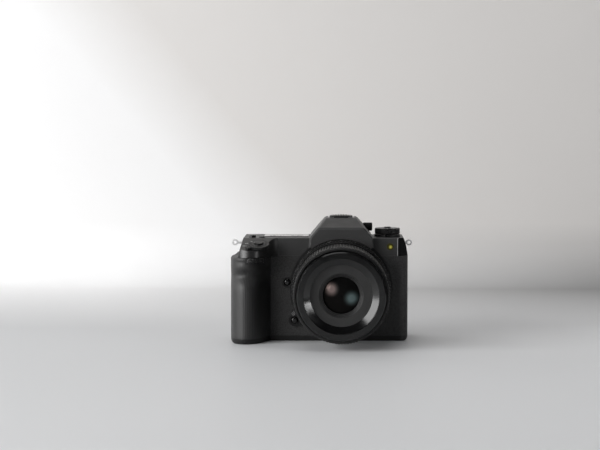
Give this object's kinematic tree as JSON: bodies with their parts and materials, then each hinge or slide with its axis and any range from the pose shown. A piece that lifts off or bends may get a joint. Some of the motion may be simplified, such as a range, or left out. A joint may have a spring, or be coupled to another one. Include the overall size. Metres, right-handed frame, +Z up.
{
  "type": "medium format digital camera",
  "caption": "Medium format mirrorless camera with deep grip, viewfinder hump, three-way tilting screen, dials, doors and a standard prime lens with turning rings.",
  "frame": {"origin": "mouth of the tripod socket, on the base and under the lens axis", "axes": "+X to the right of someone facing the lens, -Y along the lens towards the subject, +Z up"},
  "size_m": [0.1549, 0.134, 0.1063],
  "materials": {
    "baffle_black": "velvet black",
    "battery_plastic": "moulded case",
    "black_metal": "black anodised",
    "black_plastic": "matt moulded",
    "board": "solder resist",
    "body_paint": "fine matt paint",
    "bright_metal": "polished steel",
    "card_plastic": "moulded card",
    "covering": "embossed grain covering",
    "display": "dark display glass",
    "eyepiece": "dark eyepiece glass",
    "glass": "coated optical glass",
    "gloss_black": "gloss black",
    "lamp": "yellow green lens",
    "platform_plastic": "black, semi gloss",
    "rubber": "fine textured rubber",
    "sensor": "cover glass over silicon",
    "socket_metal": "plated shell",
    "steel": "turned steel",
    "top_paint": "dark grey satin paint"
  },
  "bodies": {
    "root": {"front_cover": "body_paint", "rear_cover": "body_paint", "top_cover": "top_paint", "bottom_plate": "body_paint", "shutter_platform": "platform_plastic", "front_covering": "covering", "grip_rubber": "rubber", "mount_ring": "bright_metal", "screws": "steel", "shutter_unit": "black_metal", "sensor_unit": "sensor", "main_board": "board", "port_sockets": "socket_metal", "battery": "battery_plastic", "memory_cards": "card_plastic", "card_slots": "socket_metal", "strap_lugs": "bright_metal", "tripod_socket": "steel", "hot_shoe": "steel", "viewfinder_unit": "black_plastic", "eyepiece_glass": "eyepiece", "eyecup": "rubber", "sub_display": "display", "af_lamp": "lamp", "lens_mount": "bright_metal", "lens_barrel": "black_metal", "front_ring": "gloss_black", "front_baffle": "baffle_black", "lens_elements": "glass", "iris_unit": "black_metal"},
    "aperture_ring": {"aperture_ring": "black_metal"},
    "focus_ring": {"focus_ring": "rubber"},
    "shutter_button": {"shutter_button": "gloss_black"},
    "power_lever": {"power_lever": "black_plastic"},
    "front_dial": {"front_dial": "black_metal"},
    "rear_dial": {"rear_dial": "black_metal"},
    "mode_dial": {"mode_dial": "black_metal"},
    "mode_dial_lock": {"mode_dial_lock": "gloss_black"},
    "mode_lever": {"mode_lever": "black_metal"},
    "diopter_knob": {"diopter_knob": "black_plastic"},
    "function_button": {"function_button": "gloss_black"},
    "lens_release_button": {"lens_release_button": "gloss_black"},
    "lock_pin": {"lock_pin": "steel"},
    "shoe_cover": {"shoe_cover": "black_plastic"},
    "card_door": {"card_door": "body_paint"},
    "port_door": {"port_door": "rubber"},
    "battery_door": {"battery_door": "black_plastic"},
    "battery_latch": {"battery_latch": "black_plastic"},
    "screen_side_frame": {"screen_side_frame": "black_metal"},
    "screen_arm": {"screen_arm": "black_metal"},
    "joystick_gimbal": {"joystick_gimbal": "black_plastic"},
    "joystick": {"joystick": "rubber"},
    "left_top_button": {"left_top_button": "gloss_black"},
    "right_top_button": {"right_top_button": "gloss_black"},
    "focus_on_button": {"focus_on_button": "black_plastic"},
    "play_button": {"play_button": "black_plastic"},
    "menu_button": {"menu_button": "black_plastic"},
    "quick_button": {"quick_button": "black_plastic"},
    "screen_panel": {"screen_panel": "black_plastic", "screen_glass": "display"}
  },
  "joints": [
    {"name": "aperture_turn", "type": "hinge", "parent": "root", "child": "aperture_ring", "pos_m": [0, -0.04, 0.0453], "axis": [0, 1, 0], "range_deg": [0, 108]},
    {"name": "focus_turn", "type": "hinge", "parent": "root", "child": "focus_ring", "pos_m": [0, -0.07, 0.0453], "axis": [0, 1, 0], "continuous": true},
    {"name": "shutter_button_press", "type": "slide", "parent": "root", "child": "shutter_button", "axis": [0, 0.3304, -0.9439], "range_m": [0, 0.0015], "stiffness_N_per_m": 300, "springref_m": -0.0004},
    {"name": "power_turn", "type": "hinge", "parent": "root", "child": "power_lever", "pos_m": [-0.0693, -0.042, 0.0817], "axis": [0, -0.3304, 0.9439], "range_deg": [0, 30]},
    {"name": "front_dial_turn", "type": "hinge", "parent": "root", "child": "front_dial", "pos_m": [-0.0745, -0.0426, 0.07], "axis": [0, 0, 1], "continuous": true},
    {"name": "rear_dial_turn", "type": "hinge", "parent": "root", "child": "rear_dial", "pos_m": [-0.066, 0.0159, 0.078], "axis": [0, 0, 1], "continuous": true},
    {"name": "mode_dial_turn", "type": "hinge", "parent": "root", "child": "mode_dial", "pos_m": [0.0399, -0.002, 0.092], "axis": [0, 0, 1], "continuous": true},
    {"name": "mode_lock_press", "type": "slide", "parent": "mode_dial", "child": "mode_dial_lock", "axis": [0, 0, -1], "range_m": [0, 0.001], "stiffness_N_per_m": 400, "springref_m": -0.0004},
    {"name": "mode_lever_turn", "type": "hinge", "parent": "root", "child": "mode_lever", "pos_m": [0.0399, -0.002, 0.089], "axis": [0, 0, 1], "range_deg": [0, 35]},
    {"name": "diopter_turn", "type": "hinge", "parent": "root", "child": "diopter_knob", "pos_m": [0.022, 0.018, 0.095], "axis": [1, 0, 0], "range_deg": [-120, 120]},
    {"name": "function_button_press", "type": "slide", "parent": "root", "child": "function_button", "axis": [0, 1, 0], "range_m": [0, 0.0008], "stiffness_N_per_m": 600, "springref_m": -0.0004},
    {"name": "lens_release_button_press", "type": "slide", "parent": "root", "child": "lens_release_button", "axis": [0, 1, 0], "range_m": [0, 0.002], "stiffness_N_per_m": 400, "springref_m": -0.0004},
    {"name": "lock_pin_slide", "type": "slide", "parent": "root", "child": "lock_pin", "axis": [0, 1, 0], "range_m": [0, 0.0018]},
    {"name": "shoe_cover_slide", "type": "slide", "parent": "root", "child": "shoe_cover", "axis": [0, 1, 0], "range_m": [0, 0.02]},
    {"name": "card_door_swing", "type": "hinge", "parent": "root", "child": "card_door", "pos_m": [-0.0901, 0.018, 0.039], "axis": [0, 0, -1], "range_deg": [0, 95]},
    {"name": "port_door_swing", "type": "hinge", "parent": "root", "child": "port_door", "pos_m": [0.0561, 0.018, 0.04], "axis": [0, 0, 1], "range_deg": [0, 95]},
    {"name": "battery_door_swing", "type": "hinge", "parent": "root", "child": "battery_door", "pos_m": [-0.0485, -0.0106, 0.0009], "axis": [0, -1, 0], "range_deg": [0, 95]},
    {"name": "battery_latch_slide", "type": "slide", "parent": "battery_door", "child": "battery_latch", "axis": [1, 0, 0], "range_m": [0, 0.0025]},
    {"name": "screen_side_swing", "type": "hinge", "parent": "root", "child": "screen_side_frame", "pos_m": [-0.0358, 0.0254, 0.0355], "axis": [0, 0, 1], "range_deg": [0, 60]},
    {"name": "screen_up_tilt", "type": "hinge", "parent": "screen_side_frame", "child": "screen_arm", "pos_m": [0.006, 0.0254, 0.0652], "axis": [1, 0, 0], "range_deg": [0, 90]},
    {"name": "screen_down_tilt", "type": "hinge", "parent": "screen_arm", "child": "screen_panel", "pos_m": [0.006, 0.0254, 0.0058], "axis": [-1, 0, 0], "range_deg": [0, 45]},
    {"name": "joystick_up_down", "type": "hinge", "parent": "root", "child": "joystick_gimbal", "pos_m": [-0.047, 0.0208, 0.061], "axis": [1, 0, 0], "range_deg": [-8, 8], "stiffness_Nm_per_rad": 0.02},
    {"name": "joystick_left_right", "type": "hinge", "parent": "joystick_gimbal", "child": "joystick", "pos_m": [-0.047, 0.0208, 0.061], "axis": [0, 0, 1], "range_deg": [-8, 8], "stiffness_Nm_per_rad": 0.02},
    {"name": "left_top_button_press", "type": "slide", "parent": "root", "child": "left_top_button", "axis": [0, 0, -1], "range_m": [0, 0.0008], "stiffness_N_per_m": 600, "springref_m": -0.0004},
    {"name": "right_top_button_press", "type": "slide", "parent": "root", "child": "right_top_button", "axis": [0, 0, -1], "range_m": [0, 0.0008], "stiffness_N_per_m": 600, "springref_m": -0.0004},
    {"name": "focus_on_button_press", "type": "slide", "parent": "root", "child": "focus_on_button", "axis": [0, -1, 0], "range_m": [0, 0.0008], "stiffness_N_per_m": 600, "springref_m": -0.0004},
    {"name": "play_button_press", "type": "slide", "parent": "root", "child": "play_button", "axis": [0, -1, 0], "range_m": [0, 0.0008], "stiffness_N_per_m": 600, "springref_m": -0.0004},
    {"name": "menu_button_press", "type": "slide", "parent": "root", "child": "menu_button", "axis": [0, -1, 0], "range_m": [0, 0.0008], "stiffness_N_per_m": 600, "springref_m": -0.0004},
    {"name": "quick_button_press", "type": "slide", "parent": "root", "child": "quick_button", "axis": [0, -1, 0], "range_m": [0, 0.0008], "stiffness_N_per_m": 600, "springref_m": -0.0004}
  ],
  "couplings": [
    {"joint": "lock_pin_slide", "follows": "lens_release_button_press", "ratio": 0.85}
  ]
}
